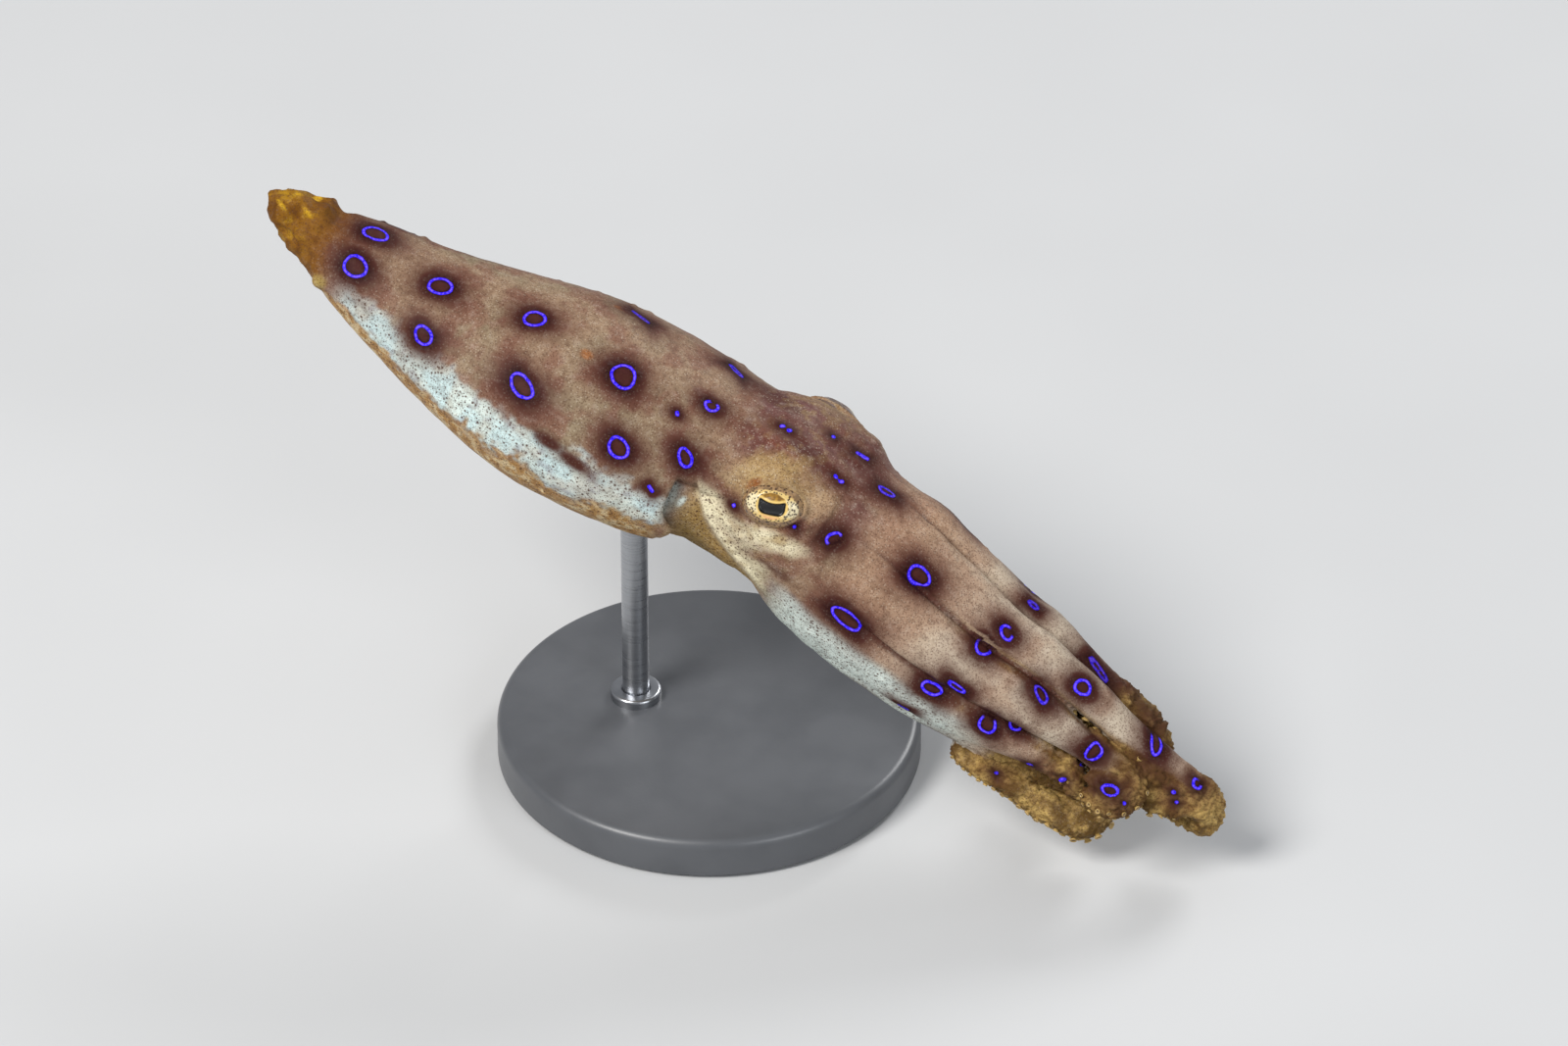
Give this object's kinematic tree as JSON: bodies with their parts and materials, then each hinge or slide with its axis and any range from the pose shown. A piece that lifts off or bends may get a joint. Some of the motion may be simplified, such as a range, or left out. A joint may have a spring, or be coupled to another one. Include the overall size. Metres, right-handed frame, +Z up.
{
  "type": "blue ringed octopus model",
  "caption": "Life-size octopus swimming mantle first, arms trailed and curled at their tips, skin marked with blue rings, held by one rod on a round base.",
  "frame": {"origin": "centre of the stand base's underside, on the surface that the model stands on", "axes": "+X from the mantle's tip towards the arms, along the ground; +Y to the animal's left; +Z up"},
  "size_m": [0.0905, 0.038, 0.05],
  "materials": {
    "skin": "moist speckled skin, taupe brown with pale patches and blue-violet rings",
    "eye": "glossy eye, golden iris with a dark horizontal pupil and a white dotted rim",
    "stand_paint": "satin light grey paint",
    "stand_steel": "satin steel rod"
  },
  "bodies": {
    "root": {"mantle": "skin", "head": "skin", "web_crown": "skin", "funnel": "skin", "eye_right": "eye", "eye_left": "eye", "arm_r1_base": "skin", "arm_r1_mid": "skin", "arm_r1_tip": "skin", "arm_r2_base": "skin", "arm_r2_mid": "skin", "arm_r2_tip": "skin", "arm_r3_base": "skin", "arm_r3_mid": "skin", "arm_r3_tip": "skin", "arm_r4_base": "skin", "arm_r4_mid": "skin", "arm_r4_tip": "skin", "arm_l1_base": "skin", "arm_l1_mid": "skin", "arm_l1_tip": "skin", "arm_l2_base": "skin", "arm_l2_mid": "skin", "arm_l2_tip": "skin", "arm_l3_base": "skin", "arm_l3_mid": "skin", "arm_l3_tip": "skin", "arm_l4_base": "skin", "arm_l4_mid": "skin", "arm_l4_tip": "skin", "stand_base": "stand_paint", "stand_rod": "stand_steel"}
  },
  "joints": []
}
